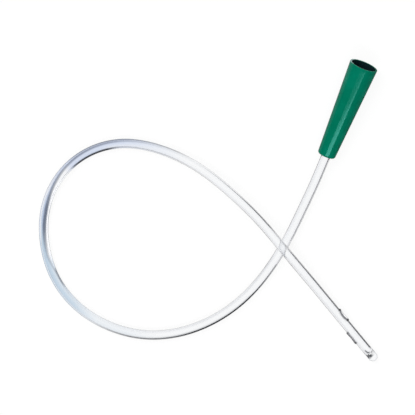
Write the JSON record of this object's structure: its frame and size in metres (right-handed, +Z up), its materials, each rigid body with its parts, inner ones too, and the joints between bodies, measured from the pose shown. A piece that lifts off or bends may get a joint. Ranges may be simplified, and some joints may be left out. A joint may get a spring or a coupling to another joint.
{
  "type": "urethral catheter",
  "caption": "Clear hollow tube with a rounded closed tip and drainage eyes, in a green funnel connector, lying in one loop.",
  "frame": {"origin": "on the floor, under the middle of the connector, which lies on its side", "axes": "+Z up; the connector lies along Y, and +Y is the way its mouth faces; the tube leaves it towards -Y and loops over to -X"},
  "size_m": [0.1597, 0.1532, 0.0123],
  "materials": {
    "clear_vinyl": "clear, colourless flexible vinyl with a smooth satin-gloss surface",
    "green_vinyl": "opaque deep green moulded vinyl, semi-gloss"
  },
  "bodies": {
    "root": {"tube": "clear_vinyl", "funnel_connector": "green_vinyl"}
  },
  "joints": []
}
